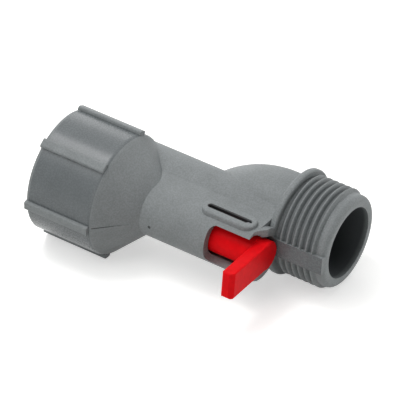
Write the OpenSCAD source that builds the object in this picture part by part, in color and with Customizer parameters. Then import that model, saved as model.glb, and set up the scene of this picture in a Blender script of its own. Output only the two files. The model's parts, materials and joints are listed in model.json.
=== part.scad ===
// Hand-operated diaphragm valve with a threaded inlet cap and an offset threaded outlet.
// A red slider in the side barrel pushes a diaphragm onto the seat in the inlet.
// +X runs from the inlet's mouth to the outlet, +Y to the outlet's side, +Z to the guide slot.
// The origin is the centre of the inlet's mouth. Millimetres.

/* [Overall] */
// Length from the inlet's mouth to the outlet's end
body_length = 74.2; // [70:0.1:90]
// Distance between the inlet's axis and the outlet's axis
outlet_y = 17.3; // [16:0.1:20]

/* [Inlet cap] */
// Outside radius of the cap between its ribs
cap_r = 16.16; // [15.6:0.02:18]
// Length of the cap up to the start of its cone
cap_length = 18.75; // [17.6:0.05:20]
// Rounding of the edge between cap and cone
cap_edge_r = 2; // [0.5:0.1:3]
// Rounding of the cap's rim at the mouth
cap_rim_r = 0.3; // [0.2:0.1:1.2]
// Number of grip ribs
rib_count = 6; // [4:1:12]
// Width of a grip rib
rib_w = 2.5; // [1.5:0.1:4]
// Height of a grip rib above the cap
rib_h = 1.02; // [0.6:0.02:2]
// Length of a grip rib
rib_length = 18.8; // [12:0.1:19.4]
// Turn of the ribs about the inlet's axis, in degrees
rib_turn = 6.6; // [0:0.1:30]
// Major radius of the inlet's thread
socket_r = 13.22; // [12:0.02:14]
// Depth of the threaded part of the inlet
socket_depth = 9.8; // [8:0.1:11]
// Radius of the recess for the gasket
recess_r = 12.4; // [11.5:0.05:13]
// Depth of the recess for the gasket and the strainer
recess_depth = 2.8; // [2.4:0.1:3.4]

/* [Side barrel] */
// Outside radius of the barrel
barrel_r = 7.05; // [6.6:0.05:8]
// Radius of the barrel's bore
barrel_bore_r = 4.95; // [4.6:0.05:5.2]
// Slope of the cone between cap and barrel, in degrees from the axis
cone_angle = 45; // [40:1:55]
// Wall of the cone, measured square to it
cone_wall = 2.26; // [1.6:0.02:3]

/* [Rear passage] */
// Distance of the rear tube's axis from the inlet's axis
rear_y = 11.15; // [10.6:0.05:12]
// Outside radius of the rear tube
rear_r = 8.5; // [8:0.05:9]
// Distance of the passage's axis from the inlet's axis
passage_y = 12.2; // [11.8:0.05:12.6]
// Radius of the passage
passage_r = 5.6; // [5:0.05:5.9]
// Radius of the ramp that starts the rear tube inside the cap
ramp_r = 5; // [3:0.1:7]
// Length of the rear tube inside the cap
ramp_depth = 2.2; // [1:0.1:3]
// Place where the passage leaves the wet chamber
passage_x = 18.6; // [18.2:0.1:20]

/* [Outlet] */
// Outside radius of the dome
dome_r = 11.45; // [11:0.05:11.9]
// Radius of the dome's side arc
dome_arc_r = 27.8; // [24:0.1:32]
// Distance from the dome's full radius to the collar's outlet side
dome_setback = 6.1; // [4:0.1:8]
// Radius of the outlet's bore
outlet_bore_r = 9.53; // [9:0.01:10]
// Radius of the outlet at the root of its thread
root_r = 12.06; // [11.9:0.01:12.4]
// Length of the flare from the dome to the thread's root
flare_length = 3; // [2:0.1:4]
// Rounding of the outlet's end
end_round = 1.1; // [0.4:0.1:1.4]
// Radius of the collar behind the thread
flange_r = 14.1; // [13.6:0.02:15]
// Thickness of the collar
flange_t = 1.7; // [1.2:0.05:2.2]
// Rounding of the collar's edges
flange_edge_r = 0.5; // [0.1:0.1:0.6]
// Length of the outlet beyond the collar
nipple_length = 14.1; // [12:0.05:16]

/* [Window] */
// Length of the window up to the collar's outlet side
window_length = 13.2; // [12.5:0.1:14]
// Height of the window's upper edge above the barrel's axis
window_top = 5.85; // [5:0.05:6.3]
// Room under the handle in the window
window_gap = 0.25; // [0.15:0.05:0.6]
// Rounding of the window's corners
window_corner_r = 1.6; // [0.5:0.1:2]
// Length of the slanted notch that opens the window towards the outlet
notch_length = 2.2; // [1:0.1:4]
// Distance in front of the axis where the notch starts
notch_start_y = 1.8; // [1:0.1:4]
// Distance behind the axis where the notch ends
notch_end_y = 1.1; // [0:0.1:2.5]

/* [Guide slot] */
// Height of the slot's boss above the barrel's axis
boss_top = 7.9; // [7.5:0.05:9]
// Width of the boss
boss_w = 5.4; // [4:0.1:7]
// Margin of the boss round the slot's ends
boss_margin = 1.3; // [1:0.05:2.6]
// Rounding of the boss's edge
boss_round = 0.45; // [0.2:0.05:0.6]
// Width of the slot
slot_w = 1.7; // [1.5:0.05:2.2]
// Distance from the slot's end to the collar's outlet side
slot_setback = 4.1; // [3.3:0.1:5]
// Length of the slot
slot_length = 12.8; // [12:0.1:13.6]

/* [Slider] */
// Travel of the slider from open to closed
travel = 9.6; // [6:0.1:9.7]
// Radius of the slider's stem
stem_r = 4.3; // [3.9:0.05:4.5]
// Radius of the stem's tail beside the outlet
tail_r = 4; // [3.6:0.05:4.05]
// Distance that the tail reaches past the collar's outlet side
tail_reach = 1.4; // [1:0.05:1.8]
// Thickness of the handle
handle_t = 3.3; // [2.5:0.1:4]
// Height of the handle
handle_h = 7.6; // [6:0.1:7.8]
// Reach of the handle from the barrel's axis
handle_reach = 16.6; // [12:0.1:20]
// Size of the bevel at the handle's tip
handle_slant = 1.1; // [0:0.1:2]
// Rounding of the handle's edges
handle_round = 0.7; // [0.2:0.1:1.2]
// Rounding of the handle's long edges
handle_edge_r = 0.4; // [0.1:0.1:0.8]
// Radius of the stem's nose
nose_r = 3.4; // [3:0.05:3.6]
// Length of the nose
nose_length = 5.4; // [5:0.1:6]
// Length of each guide collar on the stem
collar_length = 2; // [1.2:0.1:3]
// Running clearance of a collar in the barrel
collar_gap = 0.08; // [0.02:0.01:0.1]
// Radius of the guide pin
pin_r = 0.75; // [0.6:0.05:0.8]
// Gap between the guide pin and the slot's end when open
pin_end_gap = 0.1; // [0.05:0.05:0.3]
// Distance of the pin's end below the boss's top
pin_drop = 0.5; // [0.2:0.1:1]
// Depth of the pin's seat below the stem's surface
pin_seat = 3; // [2:0.1:4]

/* [Diaphragm] */
// Radius of the diaphragm's rim
rim_r = 6.05; // [5.8:0.05:6.4]
// Thickness of the diaphragm's rim and centre
rim_t = 0.8; // [0.6:0.1:1.2]
// Thickness of the diaphragm's sleeve
sleeve_t = 0.45; // [0.3:0.05:0.6]
// Place of the shoulder that the rim sits on
shoulder_x = 27; // [26.6:0.1:27.2]
// Length of the clamp ring
clamp_length = 1.5; // [1:0.1:2]
// Inner radius of the clamp ring
clamp_bore_r = 4.6; // [4.4:0.05:4.9]
// Radius of the diaphragm's button
button_r = 4; // [3.8:0.05:4.1]
// Thickness of the button
button_t = 1.3; // [1:0.1:2]
// Radius of the button screw's head
screw_head_r = 1.8; // [1.4:0.1:2.2]
// Height of the button screw's head
screw_head_h = 0.9; // [0.6:0.1:1.2]
// Radius of the button screw's shank
screw_r = 0.95; // [0.8:0.05:1.2]
// Length of the button screw's shank
screw_length = 5.2; // [4:0.1:6]

/* [Seat and strainer] */
// Radius of the bore that holds the seat
seat_bore_r = 10.8; // [10.2:0.05:11.2]
// Length of the seat's rim
seat_length = 3.4; // [3:0.1:3.8]
// Radius of the wet chamber behind the seat
chamber_r = 10; // [9.5:0.05:10.2]
// Radius of the nozzle's opening
nozzle_r = 3.3; // [3:0.05:3.4]
// Wall of the nozzle
nozzle_wall = 0.8; // [0.5:0.05:1]
// Thickness of the seat's rim
seat_rim_t = 2.2; // [1.8:0.1:3]
// Thickness of the seat's web
web_t = 1.4; // [1:0.1:2]
// Thickness of the strainer's collar
strainer_t = 0.8; // [0.6:0.1:1]
// Width of a strainer spoke
spoke_w = 1.1; // [0.8:0.1:2]
// Radius of the strainer's hub
hub_r = 1.6; // [1:0.1:3]
// Number of strainer spokes
spoke_count = 4; // [3:1:8]
// Height of the strainer's dome
mesh_h = 2.6; // [1.5:0.1:2.7]
// Thickness of the strainer's mesh
mesh_t = 0.3; // [0.2:0.05:0.5]
// Inner radius of the inlet gasket
gasket_bore_r = 9.3; // [8.8:0.1:10]

/* [O-rings] */
// Section radius of the stem's O-ring
stem_ring_r = 0.62; // [0.5:0.01:0.65]
// Section radius of the seat's O-ring
seat_ring_r = 0.6; // [0.5:0.01:0.75]

/* [Hidden] */
fine = 96;
small = 48;
large = 160;
over = 1;                 // how far a cut runs past a face
bite = 0.01;              // how far two cuts or two joined solids overlap
fit_gap = 0.05;           // clearance of pieces pressed or laid in a bore
pin_fit = 0.02;           // clearance of the guide pin in the stem
seat_room = 0.2;          // gap between the strainer and the seat
ring_gap = 0.03;          // clearance of an O-ring on its groove's floor
groove_room = 0.4;        // width of a groove beyond its O-ring
close_gap = 0.05;         // gap between button and nozzle when closed
edge = 0.3;               // small broken edges

// stations along X
cone_run = (cap_r - barrel_r) / tan(cone_angle);
cone_end = cap_length + cone_run;
collar_face = body_length - nipple_length;
collar_back = collar_face - flange_t;
dome_x = collar_face - dome_setback;
window_x = collar_face - window_length;
slot_x = collar_face - slot_setback;
recess_end = socket_depth + recess_depth;
seat_start = recess_end + strainer_t + seat_room;
seat_stop = seat_start + seat_length;
clamp_r = rim_r + fit_gap;
pin_x = slot_x - slot_w / 2 - pin_end_gap;
// the diaphragm hangs as far behind the clamp when open as before it when closed
disc_face = shoulder_x + travel / 2;
button_face = disc_face - rim_t - button_t;
nozzle_end = button_face - travel - close_gap;
seat_groove_x = (seat_start + seat_stop) / 2;
groove_w = 2 * stem_ring_r + groove_room;
nose_end = disc_face + nose_length;
stem_start = nose_end + 2 * collar_length + groove_w;
tail_end = collar_face + tail_reach;
handle_x = tail_end - handle_t;
window_floor = -handle_h / 2 - window_gap;
strainer_bore_r = gasket_bore_r - edge;
collar_r = barrel_bore_r - collar_gap;

grey = [0.51, 0.53, 0.54];
red = [0.82, 0.05, 0.07];
black_rubber = [0.09, 0.09, 0.1];
white_plastic = [0.86, 0.87, 0.86];
steel = [0.72, 0.73, 0.75];

function arc(c, r, a0, a1, n = 6) = [for (i = [0:n]) let (a = a0 + (a1 - a0) * i / n)
    [c[0] + r * cos(a), c[1] + r * sin(a)]];

// the station at which the inside of the cone has radius r
function cone_inside(r) = cap_length + (cap_r - cone_wall / cos(cone_angle) - r) / tan(cone_angle);

// ---- helpers: everything round turns about an axis along X ----

// a solid of revolution; the profile's points are [radius, station]
module spin(y = 0, n = fine) {
    translate([0, y, 0]) rotate([0, 90, 0]) rotate_extrude($fn = n) children();
}

module rod(x0, x1, r, y = 0, n = fine) {
    spin(y, n) polygon([[0, x0], [r, x0], [r, x1], [0, x1]]);
}

module ring(x0, x1, r_out, r_in, y = 0, n = fine) {
    difference() {
        rod(x0, x1, r_out, y, n);
        rod(x0 - over, x1 + over, r_in, y, n);
    }
}

module o_ring(x, r_mid, r_section) {
    spin() translate([r_mid, x]) circle(r = r_section, $fn = small);
}

// a flat block with round ends, standing on z = 0, its length along X
module stadium(x0, x1, w, h) {
    translate([x0 + w / 2, -w / 2, 0]) cube([x1 - x0 - w, w, h]);
    for (x = [x0 + w / 2, x1 - w / 2]) translate([x, 0, 0]) cylinder(h = h, r = w / 2, $fn = small);
}

// a rectangle with round corners
module rounded(w, h, r) {
    translate([r, 0]) square([w - 2 * r, h]);
    translate([0, r]) square([w, h - 2 * r]);
    for (x = [r, w - r], y = [r, h - r]) translate([x, y]) circle(r = r, $fn = small);
}

// ---- body ----

module cap_and_cone() {
    bend = cap_edge_r * tan(cone_angle / 2);
    spin() polygon(concat(
        [[0, 0], [cap_r - cap_rim_r, 0]],
        arc([cap_r - cap_rim_r, cap_rim_r], cap_rim_r, -90, 0),
        arc([cap_r - cap_edge_r, cap_length - bend], cap_edge_r, 0, cone_angle),
        [[barrel_r, cone_end], [0, cone_end]]));
}

// one rib is a bar with a rounded back
module rib() {
    corner = rib_h / 2;
    half = rib_w / 2;
    rotate([90, 0, 90]) linear_extrude(height = rib_length) {
        translate([-half, cap_r - over]) square([rib_w, over + rib_h - corner]);
        translate([-half + corner, cap_r - over]) square([rib_w - 2 * corner, over + rib_h]);
        for (side = [-1, 1]) translate([side * (half - corner), cap_r + rib_h - corner])
            circle(r = corner, $fn = small);
    }
}

module ribs() {
    for (i = [0:rib_count - 1]) rotate([90 + rib_turn + 360 * i / rib_count, 0, 0]) rib();
}

// the barrel is round in front and has flat sides back to the rear tube, up to the collar
module barrel() {
    rod(cap_length, collar_face, barrel_r);
    translate([0, 0, -barrel_r]) linear_extrude(height = 2 * barrel_r) polygon([
        [cap_length, 0], [collar_back, 0], [collar_back, rear_y], [cap_length, rear_y]]);
}

// the rear tube ramps out of the cap's side and runs into the dome
module rear_tube() {
    ramp = rear_r - ramp_r;
    ramp_x = cap_length - ramp_depth;
    rod(ramp_x, collar_back, rear_r, rear_y);
    translate([ramp_x - ramp, rear_y, 0]) rotate([0, 90, 0])
        cylinder(h = ramp, r1 = ramp_r, r2 = rear_r, $fn = fine);
}

// half of a pointed arch, turned into a dome; wall makes the hollow inside it
module dome(wall = 0) {
    spin(outlet_y) intersection() {
        translate([dome_r - dome_arc_r, dome_x]) circle(r = dome_arc_r - wall, $fn = large);
        polygon([[0, dome_x - dome_arc_r], [dome_r, dome_x - dome_arc_r], [dome_r, dome_x], [0, dome_x]]);
    }
}

module collar() {
    r = flange_edge_r;
    spin(outlet_y) polygon(concat(
        [[0, collar_back]], arc([flange_r - r, collar_back + r], r, -90, 0),
        arc([flange_r - r, collar_face - r], r, 0, 90), [[0, collar_face]]));
}

module outlet() {
    dome();
    rod(dome_x, collar_face, dome_r, outlet_y);
    collar();
    spin(outlet_y) polygon(concat(
        [[0, dome_x], [root_r, dome_x + flare_length], [root_r, body_length - end_round]],
        arc([root_r - end_round, body_length - end_round], end_round, 0, 90),
        [[0, body_length]]));
}

// the slot's boss: flat on top, with a rounded edge
module boss() {
    x0 = slot_x - slot_length - boss_margin;
    x1 = slot_x + boss_margin;
    r = boss_w / 2;
    stadium(x0, x1, boss_w, boss_top - boss_round);
    translate([0, 0, boss_top - 2 * boss_round])
        stadium(x0 + boss_round, x1 - boss_round, boss_w - 2 * boss_round, 2 * boss_round);
    translate([0, 0, boss_top - boss_round]) {
        for (side = [-1, 1]) translate([x0 + r, side * (r - boss_round), 0]) rotate([0, 90, 0])
            cylinder(h = x1 - x0 - 2 * r, r = boss_round, $fn = small);
        for (x = [x0 + r, x1 - r]) translate([x, 0, 0]) rotate_extrude($fn = small)
            translate([r - boss_round, 0]) circle(r = boss_round, $fn = small);
    }
}

module body_solid() {
    cap_and_cone();
    ribs();
    barrel();
    rear_tube();
    outlet();
    boss();
}

// the inlet's steps, the wet chamber and the counterbore for the diaphragm
module inlet_hollow() {
    spin() polygon([
        [0, -over], [socket_r, -over], [socket_r, socket_depth], [recess_r, socket_depth],
        [recess_r, recess_end], [seat_bore_r, recess_end], [seat_bore_r, seat_stop],
        [chamber_r, seat_stop], [chamber_r, cone_inside(chamber_r)],
        [clamp_r, cone_inside(clamp_r)], [clamp_r, shoulder_x], [0, shoulder_x]]);
}

module passage_hollow() {
    rod(passage_x, dome_x, passage_r, passage_y);
    dome(dome_r - outlet_bore_r);
    rod(dome_x - bite, body_length + over, outlet_bore_r, outlet_y);
}

// the window is open towards the outlet, where a slanted notch frees the handle's root
module window() {
    w = window_top - window_floor;
    translate([0, 0, window_floor + w / 2]) rotate([90, 0, 0]) {
        stadium_cut(window_x, collar_face + over, w, window_corner_r, barrel_r + over);
    }
    start = collar_face - notch_length;
    front = -barrel_r - over;
    translate([0, 0, window_floor]) linear_extrude(height = barrel_r + boss_top) polygon([
        [start, front], [start, -notch_start_y], [collar_face, notch_end_y],
        [collar_face + over, notch_end_y], [collar_face + over, front]]);
}

// a bar with round corners at its first end, cut from y = 0 outwards
module stadium_cut(x0, x1, w, r, depth) {
    translate([x0 + r, -w / 2, 0]) cube([x1 - x0 - r, w, depth]);
    translate([x0, -w / 2 + r, 0]) cube([r, w - 2 * r, depth]);
    for (side = [-1, 1]) translate([x0 + r, side * (w / 2 - r), 0])
        cylinder(h = depth, r = r, $fn = small);
}

module body() {
    color(grey) difference() {
        body_solid();
        inlet_hollow();
        passage_hollow();
        rod(shoulder_x - over, collar_face + over, barrel_bore_r);
        window();
        stadium(slot_x - slot_length, slot_x, slot_w, boss_top + over);
    }
}

// ---- pieces laid in the inlet ----

module inlet_gasket() {
    color(black_rubber)
        ring(socket_depth + fit_gap, recess_end - strainer_t, recess_r - 4 * fit_gap, gasket_bore_r);
}

module strainer_frame() {
    skirt_r = seat_bore_r - 2 * fit_gap;
    back = recess_end + strainer_t;
    color(white_plastic) {
        ring(recess_end - strainer_t, recess_end, recess_r - 2 * fit_gap, strainer_bore_r);
        ring(recess_end - strainer_t, back, skirt_r, strainer_bore_r);
        for (i = [0:spoke_count - 1]) rotate([360 * i / spoke_count, 0, 0])
            translate([recess_end, -spoke_w / 2, 0]) cube([strainer_t, spoke_w, strainer_bore_r + edge]);
        rod(recess_end, back, hub_r);
    }
}

// a shallow dome of woven wire that stands on the spokes and bulges towards the mouth
module strainer_mesh() {
    rim = strainer_bore_r - fit_gap;
    arc_r = (rim * rim + mesh_h * mesh_h) / (2 * mesh_h);
    centre = recess_end - mesh_h + arc_r;
    color(steel) spin() difference() {
        intersection() {
            translate([0, centre]) circle(r = arc_r, $fn = large);
            translate([0, recess_end - mesh_h - over]) square([rim, mesh_h + over]);
        }
        translate([0, centre]) circle(r = arc_r - mesh_t, $fn = large);
    }
}

module seat_ring() {
    rim_out = seat_bore_r - fit_gap;
    lip = nozzle_r + nozzle_wall;
    lip_round = nozzle_wall / 2;
    groove_half = seat_ring_r + groove_room / 2;
    color(white_plastic) difference() {
        union() {
            ring(seat_start, seat_stop, rim_out, rim_out - seat_rim_t);
            ring(seat_stop - web_t, seat_stop, rim_out, nozzle_r);
            ring(seat_stop - web_t, nozzle_end - lip_round, lip, nozzle_r);
            o_ring(nozzle_end - lip_round, nozzle_r + lip_round, lip_round);
        }
        ring(seat_groove_x - groove_half, seat_groove_x + groove_half, rim_out + over,
             rim_out - 2 * seat_ring_r - ring_gap);
    }
}

module seat_o_ring() {
    color(black_rubber) o_ring(seat_groove_x, seat_bore_r - fit_gap - seat_ring_r, seat_ring_r);
}

module clamp_ring() {
    color(white_plastic) spin() polygon([
        [clamp_bore_r + edge, shoulder_x - rim_t - clamp_length],
        [clamp_r - fit_gap / 2, shoulder_x - rim_t - clamp_length],
        [clamp_r - fit_gap / 2, shoulder_x - rim_t],
        [clamp_bore_r + edge, shoulder_x - rim_t],
        [clamp_bore_r, shoulder_x - rim_t - edge],
        [clamp_bore_r, shoulder_x - rim_t - clamp_length + edge]]);
}

// a cup with a flat rim, clamped at the rim and at its centre
module diaphragm() {
    sleeve_out = barrel_bore_r - 2 * fit_gap;
    sleeve_in = sleeve_out - sleeve_t;
    rim_face = shoulder_x - rim_t;
    color(black_rubber) spin() polygon([
        [sleeve_in, rim_face], [rim_r, rim_face], [rim_r, shoulder_x], [sleeve_out, shoulder_x],
        [sleeve_out, disc_face - edge], [sleeve_out - edge, disc_face],
        [screw_r + fit_gap, disc_face], [screw_r + fit_gap, disc_face - rim_t],
        [sleeve_in, disc_face - rim_t]]);
}

// ---- moving pieces ----

module diaphragm_button() {
    color(white_plastic) spin() polygon([
        [screw_r + fit_gap, button_face], [button_r - edge, button_face],
        [button_r, button_face + edge], [button_r, button_face + button_t],
        [screw_r + fit_gap, button_face + button_t]]);
}

module button_screw() {
    color(steel) spin(0, small) polygon([
        [0, button_face - screw_head_h], [screw_head_r - edge, button_face - screw_head_h],
        [screw_head_r, button_face - screw_head_h + edge], [screw_head_r, button_face],
        [screw_r, button_face], [screw_r, button_face + screw_length], [0, button_face + screw_length]]);
}

// the stem: nose, two guide collars with the O-ring's groove between them, shaft and tail
module stem() {
    groove_r = collar_r - 2 * stem_ring_r - ring_gap;
    c1 = nose_end + collar_length;
    c2 = c1 + groove_w;
    spin() polygon([
        [0, disc_face], [nose_r - edge, disc_face], [nose_r, disc_face + edge], [nose_r, nose_end],
        [collar_r - edge, nose_end], [collar_r, nose_end + edge], [collar_r, c1], [groove_r, c1],
        [groove_r, c2], [collar_r, c2], [collar_r, stem_start - edge], [stem_r, stem_start],
        [stem_r, handle_x], [tail_r, handle_x], [tail_r, tail_end - edge], [tail_r - edge, tail_end],
        [0, tail_end]]);
}

// the handle is what its three outlines share: from above, from its tip and from the outlet
module handle() {
    r = handle_round;
    tip = -handle_reach;
    intersection() {
        translate([0, 0, -handle_h / 2]) linear_extrude(height = handle_h) polygon(concat(
            [[handle_x, 0], [handle_x, tip + r]],
            arc([handle_x + r, tip + r], r, 180, 270),
            [[tail_end - handle_slant, tip], [tail_end, tip + handle_slant], [tail_end, 0]]));
        translate([handle_x, 0, -handle_h / 2]) rotate([90, 0, 0])
            linear_extrude(height = handle_reach + over) rounded(handle_t, handle_h, handle_edge_r);
        translate([handle_x, tip, -handle_h / 2]) rotate([90, 0, 90]) linear_extrude(height = handle_t)
            rounded(handle_reach + stem_r, handle_h, r);
    }
}

module slider() {
    color(red) difference() {
        union() {
            stem();
            handle();
        }
        rod(disc_face - over, button_face + screw_length + edge, screw_r + fit_gap / 2, 0, small);
        translate([pin_x, 0, stem_r - pin_seat])
            cylinder(h = pin_seat + over, r = pin_r + pin_fit, $fn = small);
    }
}

module stem_o_ring() {
    color(black_rubber) o_ring(nose_end + collar_length + groove_w / 2, collar_r - stem_ring_r, stem_ring_r);
}

module guide_pin() {
    floor_z = stem_r - pin_seat;
    height = boss_top - pin_drop - floor_z;
    color(steel) translate([pin_x, 0, floor_z]) rotate_extrude($fn = small) polygon([
        [0, 0], [pin_r, 0], [pin_r, height - edge], [pin_r - edge, height], [0, height]]);
}

body();
inlet_gasket();
strainer_frame();
strainer_mesh();
seat_ring();
seat_o_ring();
clamp_ring();
diaphragm();
diaphragm_button();
button_screw();
slider();
stem_o_ring();
guide_pin();
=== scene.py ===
import json
from math import asin, atan2, ceil, cos, floor, hypot, pi, radians, sin, sqrt

import bpy
from mathutils import Matrix, Vector
from mathutils.bvhtree import BVHTree


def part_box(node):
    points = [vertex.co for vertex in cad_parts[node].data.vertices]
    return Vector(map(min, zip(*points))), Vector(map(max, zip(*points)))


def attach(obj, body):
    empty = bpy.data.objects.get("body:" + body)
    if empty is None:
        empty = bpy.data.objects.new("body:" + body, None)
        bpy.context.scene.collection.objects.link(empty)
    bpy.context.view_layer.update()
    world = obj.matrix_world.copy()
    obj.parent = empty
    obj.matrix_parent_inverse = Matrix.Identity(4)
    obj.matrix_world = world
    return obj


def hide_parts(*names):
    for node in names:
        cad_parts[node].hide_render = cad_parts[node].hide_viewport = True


# A hand-operated diaphragm valve: grey moulded body, red slider, threads at both ends.
# Sizes in the dictionaries are millimetres in the part's own frame.

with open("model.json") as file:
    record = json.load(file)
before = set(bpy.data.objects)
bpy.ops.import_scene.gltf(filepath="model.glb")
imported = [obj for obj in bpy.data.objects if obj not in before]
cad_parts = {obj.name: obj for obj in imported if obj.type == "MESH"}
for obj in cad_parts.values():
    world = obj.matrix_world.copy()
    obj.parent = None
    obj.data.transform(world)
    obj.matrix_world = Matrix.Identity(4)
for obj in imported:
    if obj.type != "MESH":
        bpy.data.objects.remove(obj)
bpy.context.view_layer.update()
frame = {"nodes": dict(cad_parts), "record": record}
nodes = frame["nodes"]
mounts = {m["name"]: m for m in frame["record"]["mounts"]}
mm = 0.001
print("frame loaded:", len(nodes), "nodes")

outletY = mounts["outlet"]["pos_m"][1] / mm
rootRadius = mounts["outlet"]["dims"]["r_mm"]
boreRadius = mounts["outlet_bore"]["dims"]["r_mm"]
socketRadius = mounts["inlet"]["dims"]["r_mm"]
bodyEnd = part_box("body")[1].x / mm

# the flat strip along the outlet's thread: its distance from the outlet's axis, half its width, its ends
strip = dict(distance=12.95, half=2.4, start=60.3, end=74.17)

camera = dict(aim=(34.71, 10.33, -0.33), azimuth=30.465, elevation=35.118, roll=4.398, distance=857.94,
              lens=306.97, sensor=36, shiftX=0.0, shiftY=0.0, nearest=10, furthest=20000)

# pixels in the photograph, 400 by 400
imageSize = (400, 400)
imagePoints = {
    "left": (24.2, 205.0),
    "right": (372.8, 215.0),
    "top": (80.5, 104.3),
    "bottom": (230.9, 300.8),
    "gateDot": (149.0, 227.3),
    "partingStart": (91.0, 229.5),
    "partingEnd": (139.0, 223.0),
    "handleTip": (222.0, 272.5),
    "pinEnd": (248.5, 221.5),
    "boreBottom": (336.0, 278.6),
    "boreRight": (368.2, 220.0),
    "stripEndTop": (324.0, 260.2),
    "stripEndBottom": (323.6, 274.2),
    "crestTop": (354.0, 188.2),
}


def makeCamera():
    azimuth = radians(camera["azimuth"])
    elevation = radians(camera["elevation"])
    back = Vector((sin(azimuth) * cos(elevation), -cos(azimuth) * cos(elevation), sin(elevation)))
    data = bpy.data.cameras.new("camera")
    data.sensor_fit = "AUTO"
    data.sensor_width = camera["sensor"]
    data.lens = camera["lens"]
    data.shift_x = camera["shiftX"]
    data.shift_y = camera["shiftY"]
    data.clip_start = camera["nearest"] * mm
    data.clip_end = camera["furthest"] * mm
    obj = bpy.data.objects.new("camera", data)
    bpy.context.scene.collection.objects.link(obj)
    roll = Matrix.Rotation(radians(camera["roll"]), 3, "Z")
    turn = (-back).to_track_quat("-Z", "Y").to_matrix() @ roll
    place = (Vector(camera["aim"]) + back * camera["distance"]) * mm
    obj.matrix_world = Matrix.Translation(place) @ turn.to_4x4()
    bpy.context.scene.camera = obj
    return obj


cam = makeCamera()
camTurn = cam.matrix_world.to_3x3()
camPlace = cam.matrix_world.translation.copy()
imageLong = max(imageSize)
missSteps = 8       # steps towards the place nearest a ray that misses


def rayThrough(x, y):
    local = Vector((x - imageSize[0] / 2 + camera["shiftX"] * imageLong,
                    imageSize[1] / 2 - y + camera["shiftY"] * imageLong,
                    -imageLong * camera["lens"] / camera["sensor"]))
    return (camTurn @ local).normalized()


# where an image point lies on what carries the piece: the ray's first hit, or the nearest place to the ray
def placeOn(tree, name):
    way = rayThrough(*imagePoints[name])
    hit, normal, _, _ = tree.ray_cast(camPlace, way)
    if hit is not None:
        return hit, normal
    along = (Vector(camera["aim"]) * mm - camPlace).dot(way)
    for _ in range(missSteps):
        hit, normal, _, _ = tree.find_nearest(camPlace + way * along)
        along = (hit - camPlace).dot(way)
    return hit, normal


# the angle about the outlet's axis at which the outline's top runs along its thread
towardsCamera = camTurn @ Vector((0, 0, 1))
outlineAngle = atan2(-towardsCamera.y, towardsCamera.z)
print("camera placed")


def linear(hexColour):
    parts = [int(hexColour[i:i + 2], 16) / 255 for i in (1, 3, 5)]
    return tuple(c / 12.92 if c <= 0.04045 else ((c + 0.055) / 1.055) ** 2.4 for c in parts) + (1.0,)


# adds a node, sets its properties and inputs; an input that is a socket is linked.
# Inputs go by name or, where a node has several of one name, by number: i0, i1 and so on.
def addNode(tree, kind, settings=None, **inputs):
    node = tree.nodes.new(kind)
    for key, value in (settings or {}).items():
        setattr(node, key, value)
    for key, value in inputs.items():
        numbered = key[0] == "i" and key[1:].isdigit()
        socket = node.inputs[int(key[1:]) if numbered else key.replace("_", " ")]
        if isinstance(value, bpy.types.NodeSocket):
            tree.links.new(value, socket)
        else:
            socket.default_value = value
    return node


def newMaterial(name):
    material = bpy.data.materials.new(name)
    material.use_nodes = True
    tree = material.node_tree
    tree.nodes.clear()
    return material, tree


def finishMaterial(tree, shader):
    addNode(tree, "ShaderNodeOutputMaterial", Surface=shader.outputs[0])


# two colours parted by a noise: the first below the span's levels, most of the second above them
def mottle(tree, noise, span, first, second, most=1.0):
    share = addNode(tree, "ShaderNodeMapRange", Value=noise, From_Min=span[0], From_Max=span[1],
                    To_Max=most).outputs[0]
    return addNode(tree, "ShaderNodeMix", dict(data_type="RGBA"), i0=share, i6=linear(first),
                   i7=linear(second)).outputs[2]


# a mask kept inside a box; a span along an axis is a centre and how far the box reaches from it
def keepInBox(tree, mask, axes, spans):
    for axis, (centre, reach) in spans.items():
        inside = addNode(tree, "ShaderNodeMath", dict(operation="COMPARE"), i0=axes[axis], i1=centre * mm,
                         i2=reach * mm).outputs[0]
        mask = addNode(tree, "ShaderNodeMath", dict(operation="MULTIPLY"), i0=mask, i1=inside).outputs[0]
    return mask


# Glass-filled polypropylene, moulded in a spark-eroded tool: a dull grey with a fine sandy grain
glassFilledPolypropylene = dict(
    colour="#7C8081", light="#8B9091", dark="#6D7172",
    grain=0.42,                      # the real grain is about 0.1 mm; drawn coarser so that it shows
    grainDetail=3.0, grainRoughness=0.6,
    speckSpan=(0.38, 0.62), speckShare=0.45,
    clouds=5.0, cloudDepth=0.06,     # flow marks of the melt
    noiseSpan=(0.3, 0.7),            # the levels that most of a noise lies between
    roughness=0.58, roughnessSwing=0.05, ior=1.49, sheenLevel=0.3, bumpStrength=0.5, bumpDepth=0.05)

# The cap's panels and the thread's strip were polished in the tool: darker, smoother, with a soft shine.
# A panel is found by its distance from the cap's axis, which is less than the ribs', and by its station.
polishedFaces = dict(
    colour="#616668", roughness=0.27, speckShare=0.06, grainDepth=0.25,
    radius=15.8, radiusReach=0.45, middle=9.8, half=9.0, softEdge=0.15,
    stripReach=0.06, stripMargin=0.02)

# The bore, the slot and the thread's roots get painted shade: their colour is drawn darker where little light
# reaches them
boreShade = dict(colour="#45494B", start=50.0, softEnd=1.5, margin=0.05, softMargin=0.2)
slotShade = dict(colour="#212426", start=43.1, end=56.1, half=0.9, bottom=4.9, top=7.65, softEdge=0.4)
rootShade = dict(colour="#45494B", most=0.6, height=0.75, start=60.3, end=70.3, softEnd=0.6)


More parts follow.
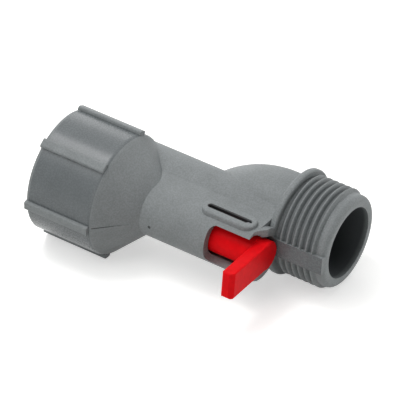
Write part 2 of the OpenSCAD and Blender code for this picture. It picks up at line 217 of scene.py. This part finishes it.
def maskPolished(tree, axes, fromCapAxis):
    p = polishedFaces
    near = []
    for value, centre, reach in ((fromCapAxis, p["radius"], p["radiusReach"]),
                                 (axes["X"], p["middle"], p["half"])):
        off = addNode(tree, "ShaderNodeMath", dict(operation="SUBTRACT"), i0=value, i1=centre * mm).outputs[0]
        off = addNode(tree, "ShaderNodeMath", dict(operation="ABSOLUTE"), i0=off).outputs[0]
        near.append(addNode(tree, "ShaderNodeMapRange", Value=off, From_Min=reach * mm,
                            From_Max=(reach + p["softEdge"]) * mm, To_Min=1.0, To_Max=0.0).outputs[0])
    panels = addNode(tree, "ShaderNodeMath", dict(operation="MULTIPLY"), i0=near[0], i1=near[1]).outputs[0]
    onStrip = addNode(tree, "ShaderNodeMath", dict(operation="GREATER_THAN"), i0=axes["X"],
                      i1=strip["start"] * mm).outputs[0]
    onStrip = keepInBox(tree, onStrip, axes, {"Y": (outletY - strip["distance"], p["stripReach"]),
                                              "Z": (0.0, strip["half"] + p["stripMargin"])})
    return addNode(tree, "ShaderNodeMath", dict(operation="MAXIMUM"), i0=panels, i1=onStrip).outputs[0]


# painted shade: the bore's wall drawn darker, where little light reaches
def maskBoreShade(tree, station, fromOutletAxis):
    b = boreShade
    within = addNode(tree, "ShaderNodeMapRange", Value=fromOutletAxis,
                     From_Min=(boreRadius + b["margin"]) * mm, From_Max=(boreRadius + b["softMargin"]) * mm,
                     To_Min=1.0, To_Max=0.0).outputs[0]
    behindRim = addNode(tree, "ShaderNodeMapRange", Value=station, From_Min=(bodyEnd - b["softEnd"]) * mm,
                        From_Max=bodyEnd * mm, To_Min=1.0, To_Max=0.0).outputs[0]
    pastStart = addNode(tree, "ShaderNodeMath", dict(operation="GREATER_THAN"), i0=station,
                        i1=b["start"] * mm).outputs[0]
    mask = addNode(tree, "ShaderNodeMath", dict(operation="MULTIPLY"), i0=within, i1=behindRim).outputs[0]
    return addNode(tree, "ShaderNodeMath", dict(operation="MULTIPLY"), i0=mask, i1=pastStart).outputs[0]


# painted shade: the slot's walls drawn nearly black, where little light reaches
def maskSlotShade(tree, axes):
    s = slotShade
    middle = (s["start"] + s["end"]) / 2
    below = addNode(tree, "ShaderNodeMapRange", Value=axes["Z"], From_Min=(s["top"] - s["softEdge"]) * mm,
                    From_Max=s["top"] * mm, To_Min=1.0, To_Max=0.0).outputs[0]
    return keepInBox(tree, below, axes, {"Y": (0.0, s["half"]), "X": (middle, s["end"] - middle),
                                         "Z": (s["top"], s["top"] - s["bottom"])})


# painted shade: the outlet thread's roots drawn darker, where little light reaches
def maskRootShade(tree, station, fromOutletAxis):
    r = rootShade
    mask = addNode(tree, "ShaderNodeMapRange", Value=fromOutletAxis, From_Min=rootRadius * mm,
                   From_Max=(rootRadius + r["height"]) * mm, To_Min=r["most"], To_Max=0.0).outputs[0]
    for place, before, after in ((r["start"], 0.0, 1.0), (r["end"], 1.0, 0.0)):
        limit = addNode(tree, "ShaderNodeMapRange", Value=station, From_Min=place * mm,
                        From_Max=(place + r["softEnd"]) * mm, To_Min=before, To_Max=after).outputs[0]
        mask = addNode(tree, "ShaderNodeMath", dict(operation="MULTIPLY"), i0=mask, i1=limit).outputs[0]
    return mask


def makeBodyMaterial():
    m = glassFilledPolypropylene
    p = polishedFaces
    material, tree = newMaterial("glassFilledPolypropylene")
    place = addNode(tree, "ShaderNodeTexCoord").outputs["Object"]
    axes = addNode(tree, "ShaderNodeSeparateXYZ", Vector=place).outputs
    across = addNode(tree, "ShaderNodeVectorMath", dict(operation="MULTIPLY"), i0=place,
                     i1=(0, 1, 1)).outputs[0]
    fromCapAxis = addNode(tree, "ShaderNodeVectorMath", dict(operation="LENGTH"), i0=across).outputs["Value"]
    shifted = addNode(tree, "ShaderNodeVectorMath", dict(operation="SUBTRACT"), i0=across,
                      i1=(0, outletY * mm, 0)).outputs[0]
    fromOutletAxis = addNode(tree, "ShaderNodeVectorMath", dict(operation="LENGTH"),
                             i0=shifted).outputs["Value"]
    polished = maskPolished(tree, axes, fromCapAxis)

    # the ground colour, its sandy specks and its flow marks, then painted shade over the bore, the thread's
    # roots and the slot
    grain = addNode(tree, "ShaderNodeTexNoise", Vector=place, Scale=1 / (m["grain"] * mm),
                    Detail=m["grainDetail"], Roughness=m["grainRoughness"]).outputs[0]
    clouds = addNode(tree, "ShaderNodeTexNoise", Vector=place, Scale=1 / (m["clouds"] * mm)).outputs[0]
    sand = mottle(tree, grain, m["speckSpan"], m["dark"], m["light"])
    ground = addNode(tree, "ShaderNodeMix", dict(data_type="RGBA"), i0=polished, i6=linear(m["colour"]),
                     i7=linear(p["colour"])).outputs[2]
    share = addNode(tree, "ShaderNodeMapRange", Value=polished, To_Min=m["speckShare"],
                    To_Max=p["speckShare"]).outputs[0]
    tone = addNode(tree, "ShaderNodeMix", dict(data_type="RGBA"), i0=share, i6=ground, i7=sand).outputs[2]
    low, high = m["noiseSpan"]
    flow = addNode(tree, "ShaderNodeMapRange", Value=clouds, From_Min=low, From_Max=high,
                   To_Min=1 - m["cloudDepth"], To_Max=1 + m["cloudDepth"]).outputs[0]
    colour = addNode(tree, "ShaderNodeVectorMath", dict(operation="SCALE"), i0=tone, Scale=flow).outputs[0]
    # painted shade laid over the colour in the bore, the thread's roots and the slot
    for mask, hexColour in ((maskBoreShade(tree, axes["X"], fromOutletAxis), boreShade["colour"]),
                            (maskRootShade(tree, axes["X"], fromOutletAxis), rootShade["colour"]),
                            (maskSlotShade(tree, axes), slotShade["colour"])):
        colour = addNode(tree, "ShaderNodeMix", dict(data_type="RGBA"), i0=mask, i6=colour,
                         i7=linear(hexColour)).outputs[2]

    dull = addNode(tree, "ShaderNodeMapRange", Value=polished, To_Min=m["roughness"],
                   To_Max=p["roughness"]).outputs[0]
    uneven = addNode(tree, "ShaderNodeMapRange", Value=grain, From_Min=low, From_Max=high,
                     To_Min=-m["roughnessSwing"], To_Max=m["roughnessSwing"]).outputs[0]
    rough = addNode(tree, "ShaderNodeMath", i0=dull, i1=uneven).outputs[0]
    depth = addNode(tree, "ShaderNodeMapRange", Value=polished, To_Min=1.0, To_Max=p["grainDepth"]).outputs[0]
    height = addNode(tree, "ShaderNodeMath", dict(operation="MULTIPLY"), i0=grain, i1=depth).outputs[0]
    bump = addNode(tree, "ShaderNodeBump", Strength=m["bumpStrength"], Distance=m["bumpDepth"] * mm,
                   Height=height).outputs[0]
    shader = addNode(tree, "ShaderNodeBsdfPrincipled", Base_Color=colour, Roughness=rough, IOR=m["ior"],
                     Specular_IOR_Level=m["sheenLevel"], Normal=bump)
    finishMaterial(tree, shader)
    return material


# Painted shade of a pit or groove, where little light comes: a thin dark mark laid over the plastic
paintedPitShade = dict(colour="#2A2C2D", fleck="#36393A", grain=0.3, roughness=0.7)


def makePitShadeMaterial():
    m = paintedPitShade
    material, tree = newMaterial("paintedPitShade")
    place = addNode(tree, "ShaderNodeTexCoord").outputs["Object"]
    grain = addNode(tree, "ShaderNodeTexNoise", Vector=place, Scale=1 / (m["grain"] * mm)).outputs[0]
    colour = addNode(tree, "ShaderNodeMix", dict(data_type="RGBA"), i0=grain, i6=linear(m["colour"]),
                     i7=linear(m["fleck"])).outputs[2]
    shader = addNode(tree, "ShaderNodeBsdfPrincipled", Base_Color=colour, Roughness=m["roughness"])
    finishMaterial(tree, shader)
    return material


# Acetal, moulded in a polished tool and dyed through: a deep even red with a soft shine
dyedAcetal = dict(
    colour="#E61018", deep="#D20C14",
    ripple=1.6, rippleSpan=(0.35, 0.65), rippleShare=0.5,      # faint waves of the melt
    fine=0.3, fineSpan=(0.3, 0.7),       # the polish's unevenness, drawn coarser so that it shows
    smoothest=0.32, roughest=0.42, ior=1.48, sheenLevel=0.04, bumpStrength=0.25, bumpDepth=0.03)


def makeSliderMaterial():
    m = dyedAcetal
    material, tree = newMaterial("dyedAcetal")
    place = addNode(tree, "ShaderNodeTexCoord").outputs["Object"]
    ripple = addNode(tree, "ShaderNodeTexNoise", Vector=place, Scale=1 / (m["ripple"] * mm)).outputs[0]
    fine = addNode(tree, "ShaderNodeTexNoise", Vector=place, Scale=1 / (m["fine"] * mm)).outputs[0]
    colour = mottle(tree, ripple, m["rippleSpan"], m["colour"], m["deep"], m["rippleShare"])
    low, high = m["fineSpan"]
    rough = addNode(tree, "ShaderNodeMapRange", Value=fine, From_Min=low, From_Max=high,
                    To_Min=m["smoothest"], To_Max=m["roughest"]).outputs[0]
    bump = addNode(tree, "ShaderNodeBump", Strength=m["bumpStrength"], Distance=m["bumpDepth"] * mm,
                   Height=ripple).outputs[0]
    shader = addNode(tree, "ShaderNodeBsdfPrincipled", Base_Color=colour, Roughness=rough, IOR=m["ior"],
                     Specular_IOR_Level=m["sheenLevel"], Normal=bump)
    finishMaterial(tree, shader)
    return material


# Natural acetal, moulded: milky white, slightly waxy
naturalAcetal = dict(
    colour="#DCDCD6", shade="#CFCFC7", cloud=3.0, cloudDetail=3.0, cloudSpan=(0.35, 0.65),
    fine=0.4,                            # the tool's grain, drawn coarser so that it shows
    roughness=0.42, ior=1.48, waxiness=0.08, waxDepth=(1.0, 1.0, 0.8), bumpStrength=0.2, bumpDepth=0.02)


def makeInsertMaterial():
    m = naturalAcetal
    material, tree = newMaterial("naturalAcetal")
    place = addNode(tree, "ShaderNodeTexCoord").outputs["Object"]
    cloud = addNode(tree, "ShaderNodeTexNoise", Vector=place, Scale=1 / (m["cloud"] * mm),
                    Detail=m["cloudDetail"]).outputs[0]
    fine = addNode(tree, "ShaderNodeTexNoise", Vector=place, Scale=1 / (m["fine"] * mm)).outputs[0]
    colour = mottle(tree, cloud, m["cloudSpan"], m["colour"], m["shade"])
    bump = addNode(tree, "ShaderNodeBump", Strength=m["bumpStrength"], Distance=m["bumpDepth"] * mm,
                   Height=fine).outputs[0]
    shader = addNode(tree, "ShaderNodeBsdfPrincipled", Base_Color=colour, Roughness=m["roughness"],
                     IOR=m["ior"], Subsurface_Weight=m["waxiness"],
                     Subsurface_Radius=[depth * mm for depth in m["waxDepth"]], Normal=bump)
    finishMaterial(tree, shader)
    return material


# Ethylene-propylene rubber, pressed: dull black with a faint bloom
pressedRubber = dict(
    colour="#1B1B1D", bloom="#2B2B2D", cloud=1.2, cloudDetail=4.0, cloudRoughness=0.6, cloudSpan=(0.4, 0.7),
    fine=0.3,                            # the tool's grain, drawn coarser so that it shows
    roughness=0.62, ior=1.52, bumpStrength=0.3, bumpDepth=0.03)


def makeRubberMaterial():
    m = pressedRubber
    material, tree = newMaterial("pressedRubber")
    place = addNode(tree, "ShaderNodeTexCoord").outputs["Object"]
    cloud = addNode(tree, "ShaderNodeTexNoise", Vector=place, Scale=1 / (m["cloud"] * mm),
                    Detail=m["cloudDetail"], Roughness=m["cloudRoughness"]).outputs[0]
    fine = addNode(tree, "ShaderNodeTexNoise", Vector=place, Scale=1 / (m["fine"] * mm)).outputs[0]
    colour = mottle(tree, cloud, m["cloudSpan"], m["colour"], m["bloom"])
    bump = addNode(tree, "ShaderNodeBump", Strength=m["bumpStrength"], Distance=m["bumpDepth"] * mm,
                   Height=fine).outputs[0]
    shader = addNode(tree, "ShaderNodeBsdfPrincipled", Base_Color=colour, Roughness=m["roughness"],
                     IOR=m["ior"], Normal=bump)
    finishMaterial(tree, shader)
    return material


# Stainless steel, drawn: bright with fine lines
drawnStainless = dict(colour="#C4C6C8", dark="#9C9EA2", roughness=0.24)
# Steel, ground: a plain grey with a small shine, which shows on the pin's end in the dark slot
groundSteel = dict(colour="#76787B", dark="#515356", roughness=0.3)
# both have fine lines along Z, which part the two greys and vary the polish; drawn coarser so that they show
steelLines = dict(width=0.12, stretch=0.08, detail=3.0, toneSpan=(0.4, 0.7), polishSpan=(0.3, 0.7),
                  smoother=0.05, rougher=0.1)


def makeSteelMaterial(name, m):
    s = steelLines
    material, tree = newMaterial(name)
    place = addNode(tree, "ShaderNodeTexCoord").outputs["Object"]
    drawnOut = addNode(tree, "ShaderNodeVectorMath", dict(operation="MULTIPLY"), i0=place,
                       i1=(1, 1, s["stretch"])).outputs[0]
    lines = addNode(tree, "ShaderNodeTexNoise", Vector=drawnOut, Scale=1 / (s["width"] * mm),
                    Detail=s["detail"]).outputs[0]
    colour = mottle(tree, lines, s["toneSpan"], m["colour"], m["dark"])
    low, high = s["polishSpan"]
    rough = addNode(tree, "ShaderNodeMapRange", Value=lines, From_Min=low, From_Max=high,
                    To_Min=m["roughness"] - s["smoother"], To_Max=m["roughness"] + s["rougher"]).outputs[0]
    shader = addNode(tree, "ShaderNodeBsdfPrincipled", Base_Color=colour, Roughness=rough, Metallic=1.0)
    finishMaterial(tree, shader)
    return material


bodyMaterial = makeBodyMaterial()
pitShadeMaterial = makePitShadeMaterial()
sliderMaterial = makeSliderMaterial()
insertMaterial = makeInsertMaterial()
rubberMaterial = makeRubberMaterial()
steelMaterial = makeSteelMaterial("drawnStainless", drawnStainless)
pinMaterial = makeSteelMaterial("groundSteel", groundSteel)

nodeMaterials = {
    "body": bodyMaterial,
    "slider": sliderMaterial,
    "strainer_frame": insertMaterial,
    "seat_ring": insertMaterial,
    "clamp_ring": insertMaterial,
    "diaphragm_button": insertMaterial,
    "inlet_gasket": rubberMaterial,
    "seat_o_ring": rubberMaterial,
    "stem_o_ring": rubberMaterial,
    "diaphragm": rubberMaterial,
    "button_screw": steelMaterial,
    "guide_pin": pinMaterial,
    "strainer_mesh": steelMaterial,
}
for nodeName, material in nodeMaterials.items():
    for slot in nodes[nodeName].material_slots:
        slot.material = material
print("materials made")


def makeMesh(name, points, faces, material, body, smoothAngle):
    mesh = bpy.data.meshes.new(name)
    mesh.from_pydata([Vector(p) * mm for p in points], [], faces)
    mesh.validate()
    mesh.polygons.foreach_set("use_smooth", [True] * len(mesh.polygons))
    mesh.set_sharp_from_angle(angle=radians(smoothAngle))
    mesh.materials.append(material)
    mesh.update()
    obj = bpy.data.objects.new(name, mesh)
    bpy.context.scene.collection.objects.link(obj)
    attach(obj, body)
    return obj


# quads between rings of points; the last ring joins the first when closed
def stitch(rings, closed=True):
    count = len(rings[0])
    points = [p for ring in rings for p in ring]
    faces = []
    last = len(rings) if closed else len(rings) - 1
    for i in range(last):
        a = i * count
        b = (i + 1) % len(rings) * count
        for j in range(count):
            k = (j + 1) % count
            faces.append((a + j, a + k, b + k, b + j))
    return points, faces


# quads over open rows of points; turned makes them face the other way
def skinOver(rows, turned=False):
    wide = len(rows[0])
    points = [p for row in rows for p in row]
    faces = []
    for i in range(len(rows) - 1):
        for j in range(wide - 1):
            a = i * wide + j
            others = (a + wide, a + wide + 1, a + 1)
            faces.append((a, *(others[::-1] if turned else others)))
    return points, faces


def treeOf(obj):
    points = [obj.matrix_world @ v.co for v in obj.data.vertices]
    return BVHTree.FromPolygons(points, [list(p.vertices) for p in obj.data.polygons])


def ease(x, low, high):
    t = min(1.0, max(0.0, (x - low) / (high - low)))
    return t * t * (3 - 2 * t)


# the form of both threads: 14 to the inch, half of each flat as a share of the pitch, slightly round flanks
threadForm = dict(pitch=1.814, crestHalf=0.06, rootHalf=0.1, rounding=0.4)


# the height of a thread, 0 in the root and 1 on the crest; turns counts pitches from a crest
def threadShape(turns):
    away = abs(turns - floor(turns + 0.5))
    low = 0.5 - threadForm["rootHalf"]
    t = min(1.0, max(0.0, (low - away) / (low - threadForm["crestHalf"])))
    return (1 - threadForm["rounding"]) * t + threadForm["rounding"] * ease(t, 0, 1)


# The outlet's thread is one sleeve over the plain nipple, with its flat strip and rounded end
outletThread = dict(
    crestRadius=13.1,
    lastCrest=70.35,                 # station of the last crest on the outline's top
    start=60.05, firstRise=60.5, runIn=61.2,
    fadeFrom=215, fadeTo=320,        # degrees on from the outline's top, where the last crest runs out
    bandRadius=12.3, bandRound=1.35, settle=0.5,
    mouth=[(0.25, 0.0), (0.07, 0.07), (0.0, 0.25)],     # the bore's edge: out from it, back from the end
    sunk=0.6, fromBore=0.4,          # how deep the sleeve's inner side lies in the nipple's wall
    proud=0.02, step=0.07, turns=180, roundStep=6, edgeTurn=0.002, edgeStep=0.005, smooth=50)


def makeOutletThread():
    t = outletThread
    pitch = threadForm["pitch"]
    end = bodyEnd + t["proud"]
    root = rootRadius + t["proud"]
    edge = asin(strip["half"] / strip["distance"])
    # even turns, and a close pair at each edge of the strip
    angles = [2 * pi * k / t["turns"] for k in range(t["turns"])]
    angles += [pi + side * (edge + shift) for side in (-1, 1) for shift in (-t["edgeTurn"], t["edgeTurn"])]
    angles = sorted(set(a % (2 * pi) for a in angles))

    def radiusAt(x, angle):
        onward = (angle - outlineAngle) % (2 * pi)
        crest = t["lastCrest"] + pitch * onward / (2 * pi)
        height = (t["crestRadius"] - root) * ease(x, t["firstRise"], t["runIn"])
        r = root + height * threadShape((x - crest) / pitch)
        # past the last crest, and where that crest has faded, the nipple is a smooth band
        faded = ease(onward, radians(t["fadeFrom"]), radians(t["fadeTo"]))
        before = crest - pitch / 2
        behind = crest + pitch / 2
        out = max(ease(x, behind, behind + t["settle"]), faded * ease(x, before, before + t["settle"]))
        r += (t["bandRadius"] - r) * out
        # the rounded outer edge of the end
        over = x - (end - t["bandRound"])
        if over > 0:
            r = min(r, t["bandRadius"] - t["bandRound"] + sqrt(max(0.0, t["bandRound"] ** 2 - over ** 2)))
        off = abs(angle - pi)
        if off < edge and x < strip["end"]:
            r = strip["distance"] / cos(off)
        return r

    def ring(x, radii):
        return [(x, outletY + r * cos(a), r * sin(a)) for a, r in zip(angles, radii)]

    # even stations, the rounded end, and a close pair at the strip's end
    straight = end - t["bandRound"] - t["start"]
    count = ceil(straight / t["step"])
    stations = [t["start"] + straight * k / count for k in range(count)]
    stations += [end - t["bandRound"] * (1 - sin(radians(d))) for d in range(0, 91, t["roundStep"])]
    stations = sorted(stations + [strip["end"] - t["edgeStep"], strip["end"] + t["edgeStep"]])
    rings = [ring(x, [radiusAt(x, a) for a in angles]) for x in stations]
    rings += [ring(end - back, [boreRadius + out] * len(angles)) for out, back in t["mouth"]]
    rings.append(ring(end - t["sunk"], [boreRadius + t["fromBore"]] * len(angles)))
    rings.append(ring(t["start"], [rootRadius - t["sunk"]] * len(angles)))
    points, faces = stitch(rings)
    makeMesh("outlet_thread", points, faces, bodyMaterial, "housing", t["smooth"])


makeOutletThread()

# The inlet's thread lines the socket
inletThread = dict(minorRadius=12.1, first=0.9, last=9.3, fade=0.8, proud=0.03, backRadius=13.7,
                   step=0.1, turns=144, smooth=50)


def makeInletThread():
    t = inletThread
    angles = [2 * pi * k / t["turns"] for k in range(t["turns"])]
    depth = socketRadius - t["minorRadius"]
    rings = []
    count = ceil((t["last"] - t["first"]) / t["step"])
    for i in range(count + 1):
        x = t["first"] + (t["last"] - t["first"]) * i / count
        fade = ease(x, t["first"], t["first"] + t["fade"]) * (1 - ease(x, t["last"] - t["fade"], t["last"]))
        ring = []
        for a in angles:
            turns = x / threadForm["pitch"] - a / (2 * pi)
            r = socketRadius + t["proud"] - depth * fade * threadShape(turns)
            ring.append((x, r * cos(a), r * sin(a)))
        rings.append(ring)
    for x in (t["last"], t["first"]):
        rings.append([(x, t["backRadius"] * cos(a), t["backRadius"] * sin(a)) for a in angles])
    points, faces = stitch(rings)
    faces = [f[::-1] for f in faces]
    makeMesh("inlet_thread", points, faces, bodyMaterial, "housing", t["smooth"])


makeInletThread()
print("threads cut")

# The rolled blend between the rear tube and the dome: a ball rolls along the crease between them.
# The ball is largest at the tube's front, -Y, and smallest towards its back.
domeBlend = dict(
    tubeY=11.15, tubeRadius=8.5, domeRadius=11.45, domeArc=27.8, domeSetback=20.2,
    largest=3.2, smallest=0.6, growth=1.5, proud=0.01, sweep=176, stations=90, steps=8, smooth=60)


def makeDomeBlend():
    b = domeBlend
    domeX = bodyEnd - b["domeSetback"]
    centreR = b["domeRadius"] - b["domeArc"]
    rows = []
    for i in range(b["stations"] + 1):
        angle = radians(2 * b["sweep"] * i / b["stations"] - b["sweep"]) + pi
        grown = (0.5 - 0.5 * cos(angle)) ** b["growth"]
        ballR = b["smallest"] + (b["largest"] - b["smallest"]) * grown
        y = b["tubeY"] + (b["tubeRadius"] + ballR) * cos(angle)
        z = (b["tubeRadius"] + ballR) * sin(angle)
        away = hypot(y - outletY, z)
        inside = (b["domeArc"] + ballR) ** 2 - (away - centreR) ** 2
        if inside <= 0:      # a ball here can't touch both
            continue
        x = domeX - sqrt(inside)
        ball = Vector((x, y, z))
        onTube = Vector((x, b["tubeY"] + b["tubeRadius"] * cos(angle), b["tubeRadius"] * sin(angle)))
        out = Vector((0, (y - outletY) / away, z / away))
        arcCentre = Vector((domeX, outletY, 0)) + out * centreR
        onDome = arcCentre + (ball - arcCentre).normalized() * b["domeArc"]
        first = (onTube - ball).normalized()
        second = (onDome - ball).normalized()
        radius = ballR - b["proud"]
        rows.append([ball + first.slerp(second, k / b["steps"]) * radius for k in range(b["steps"] + 1)])
    points, faces = skinOver(rows, turned=True)
    makeMesh("dome_blend", points, faces, bodyMaterial, "housing", b["smooth"])


makeDomeBlend()
print("dome blended")

# Woven wire in the place of the strainer's thin dome, each wire over one and under the next.
# The photograph doesn't show it: its spacing is a guess, wide enough to be seen.
strainerWire = dict(pitch=1.0, radius=0.13, sides=6, stepLength=0.25, smooth=40)


def makeStrainerWire():
    w = strainerWire
    low, high = (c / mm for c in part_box("strainer_mesh"))
    rim = (high.y - low.y) / 2 - w["radius"]
    rise = high.x - low.x
    arc = (rim * rim + rise * rise) / (2 * rise)
    turns = [2 * pi * n / w["sides"] for n in range(w["sides"])]
    rows = floor(rim / w["pitch"])
    points = []
    faces = []

    def domeStation(a, b):
        return low.x + arc - sqrt(arc * arc - a * a - b * b) + w["radius"] * 2

    # the middle line of the wire in a row; across is 0 for wires along Z and 1 for wires along Y
    def wireMiddle(row, across):
        level = row * w["pitch"]
        half = sqrt(rim * rim - level * level)
        count = ceil(2 * half / w["stepLength"])
        middle = []
        for k in range(count + 1):
            s = -half + 2 * half * k / count
            over = (1 if (row + across) % 2 else -1) * cos(pi * s / w["pitch"]) * w["radius"]
            y, z = (s, level) if across else (level, s)
            middle.append(Vector((domeStation(y, z) + over, y, z)))
        return middle

    for across in (0, 1):
        side = Vector((0, 0, 1)) if across else Vector((0, 1, 0))
        for row in range(-rows, rows + 1):
            middle = wireMiddle(row, across)
            rings = []
            for k, c in enumerate(middle):
                way = (middle[min(k + 1, len(middle) - 1)] - middle[max(k - 1, 0)]).normalized()
                up = way.cross(side).normalized()
                rings.append([c + (side * cos(g) + up * sin(g)) * w["radius"] for g in turns])
            tube, quads = stitch(rings, closed=False)
            start = len(points)
            points += tube
            faces += [[start + n for n in quad] for quad in quads]
            faces.append([start + n for n in range(w["sides"])][::-1])
            faces.append([len(points) - w["sides"] + n for n in range(w["sides"])])
    return makeMesh("strainer_wire", points, faces, steelMaterial, "housing", w["smooth"])


wirePiece = makeStrainerWire()
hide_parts("strainer_mesh")
print("strainer woven")

# The parting line is a fine ledge with a groove above it, whose shade is painted as a thin dark strip; both
# fade along the cone.
# Places across it are measured upwards from the line between its two image points.
partingLine = dict(
    ledgeHeight=0.2, ledgeFoot=0.08, ledgeEdge=-0.02, ledgeBack=-1.5, sunk=0.02, fadeIn=6, fadeOut=3,
    grooveTop=0.34, grooveLift=0.03, grooveShare=0.75, inFront=-50, steps=40, smooth=30)


def makePartingLine(tree):
    m = partingLine
    start = placeOn(tree, "partingStart")[0]
    end = placeOn(tree, "partingEnd")[0]
    along = (end - start).normalized()
    ledge = []
    groove = []
    places = []
    for k in range(m["steps"] + 1):
        t = k / m["steps"]
        guess = start.lerp(end, t)
        hit, normal, _, _ = tree.ray_cast(Vector((guess.x, m["inFront"] * mm, guess.z)), Vector((0, 1, 0)))
        up = normal.cross(along).normalized()
        up *= 1 if up.z > 0 else -1
        lift = min(1.0, m["fadeIn"] * t, m["fadeOut"] * (1 - t))
        profile = [(m["ledgeFoot"], -m["sunk"]), (m["ledgeEdge"], m["ledgeHeight"] * lift),
                   (m["ledgeBack"], -m["sunk"])]
        ledge.append([(hit + (up * s + normal * h) * mm) / mm for s, h in profile])
        # the groove: a thin dark strip of painted shade
        width = max(0.0, 1 - t / m["grooveShare"])
        edges = (m["ledgeFoot"], m["ledgeFoot"] + (m["grooveTop"] - m["ledgeFoot"]) * width)
        groove.append([(hit + (up * s + normal * m["grooveLift"]) * mm) / mm for s in edges])
        places.append(hit)
    for name, rows, material in (("parting_line", ledge, bodyMaterial),
                                 ("parting_groove_shade", groove, pitShadeMaterial)):
        points, faces = skinOver(rows)
        makeMesh(name, points, faces, material, "housing", m["smooth"])
    return places[0], places[-1]


# The small pit left by the gate, drawn as a thin dark cap of painted shade: each ring is a share of its
# radius and a height
gateMark = dict(radius=0.34, rings=[(1.35, -0.01), (1.1, 0.03), (0.9, 0.025), (0.6, 0.01), (0.3, 0.004)],
                middleHeight=0.004, sides=20, smooth=80)


def makeGateDot(tree):
    m = gateMark
    place, normal = placeOn(tree, "gateDot")
    side = normal.cross(Vector((1, 0, 0))).normalized()
    other = normal.cross(side).normalized()
    turns = [2 * pi * n / m["sides"] for n in range(m["sides"])]
    rings = []
    for share, height in m["rings"]:
        rings.append([(place + (side * cos(g) + other * sin(g)) * share * m["radius"] * mm
                       + normal * height * mm) / mm for g in turns])
    points, faces = stitch(rings, closed=False)
    inner = len(points) - m["sides"]
    faces += [(inner + n, inner + (n + 1) % m["sides"], len(points)) for n in range(m["sides"])]
    points.append(place / mm + normal * m["middleHeight"])
    makeMesh("gate_pit_shade", points, faces, pitShadeMaterial, "housing", m["smooth"])
    return place


bodyTree = treeOf(nodes["body"])
partingStart, partingEnd = makePartingLine(bodyTree)
gatePlace = makeGateDot(bodyTree)
print("mould marks set")

# The object rests on its cap and on the outlet's thread, so the floor slopes a little between the two
floorPlan = dict(size=3000, colour="#E6E6E4", roughness=0.9, glow=0.5, capX=10.0, threadX=70.0,
                 gap=0.02, steps=12)


# 1 for what the camera, a mirror or a glass sees, 0 for what only lights the object
def seenDirectly(tree):
    path = addNode(tree, "ShaderNodeLightPath").outputs
    first = addNode(tree, "ShaderNodeMath", dict(operation="MAXIMUM"), i0=path["Is Camera Ray"],
                    i1=path["Is Glossy Ray"]).outputs[0]
    return addNode(tree, "ShaderNodeMath", dict(operation="MAXIMUM"), i0=first,
                   i1=path["Is Transmission Ray"]).outputs[0]


def makeStage():
    f = floorPlan
    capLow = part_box("body")[0].z / mm
    threadLow = -outletThread["crestRadius"]
    slope = (threadLow - capLow) / (f["threadX"] - f["capX"])
    marks = [f["size"] * k / f["steps"] - f["size"] / 2 for k in range(f["steps"] + 1)]
    rows = [[(x, y, capLow - f["gap"] + slope * (x - f["capX"])) for y in marks] for x in marks]
    points, faces = skinOver(rows)
    mesh = bpy.data.meshes.new("floor")
    mesh.from_pydata([Vector(p) * mm for p in points], [], faces)
    obj = bpy.data.objects.new("floor", mesh)
    bpy.context.scene.collection.objects.link(obj)
    material, tree = newMaterial("matteBoard")
    board = addNode(tree, "ShaderNodeBsdfPrincipled", Base_Color=linear(f["colour"]),
                    Roughness=f["roughness"])
    strength = addNode(tree, "ShaderNodeMapRange", Value=seenDirectly(tree), To_Min=0.0,
                       To_Max=f["glow"]).outputs[0]
    glow = addNode(tree, "ShaderNodeEmission", Strength=strength)
    finishMaterial(tree, addNode(tree, "ShaderNodeAddShader", i0=board.outputs[0], i1=glow.outputs[0]))
    mesh.materials.append(material)


lampAim = (35, 10, 0)
lamps = [
    dict(name="overhead", place=(-140, 200, 510), size=660, power=1.0),
    dict(name="frontTop", place=(-97, -249, 525), size=470, power=1.65),
    dict(name="shine", place=(-197, -36, 508), size=150, power=0.75),      # mirrored in the cap's panel
    dict(name="right", place=(484, 387, 110), size=400, power=1.9),
    dict(name="left", place=(-394, 370, 160), size=400, power=1.15),
    dict(name="front", place=(110, -565, 110), size=400, power=0.7),
]


def makeLamps():
    for lamp in lamps:
        data = bpy.data.lights.new(lamp["name"], "AREA")
        data.shape = "SQUARE"
        data.size = lamp["size"] * mm
        data.energy = lamp["power"]
        obj = bpy.data.objects.new(lamp["name"], data)
        bpy.context.scene.collection.objects.link(obj)
        place = Vector(lamp["place"]) * mm
        way = Vector(lampAim) * mm - place
        obj.matrix_world = Matrix.Translation(place) @ way.to_track_quat("-Z", "Y").to_matrix().to_4x4()


studioLevel = 0.12     # the room's own light on the object


def makeWorld():
    world = bpy.data.worlds.new("studio")
    world.use_nodes = True
    tree = world.node_tree
    tree.nodes.clear()
    strength = addNode(tree, "ShaderNodeMapRange", Value=seenDirectly(tree), To_Min=studioLevel,
                       To_Max=1.0).outputs[0]
    light = addNode(tree, "ShaderNodeBackground", Color=(1, 1, 1, 1), Strength=strength)
    addNode(tree, "ShaderNodeOutputWorld", Surface=light.outputs[0])
    bpy.context.scene.world = world


makeStage()
makeLamps()
makeWorld()
bpy.context.scene.view_settings.view_transform = "Standard"
print("stage lit")


def writePoints():
    bpy.context.view_layer.update()


writePoints()
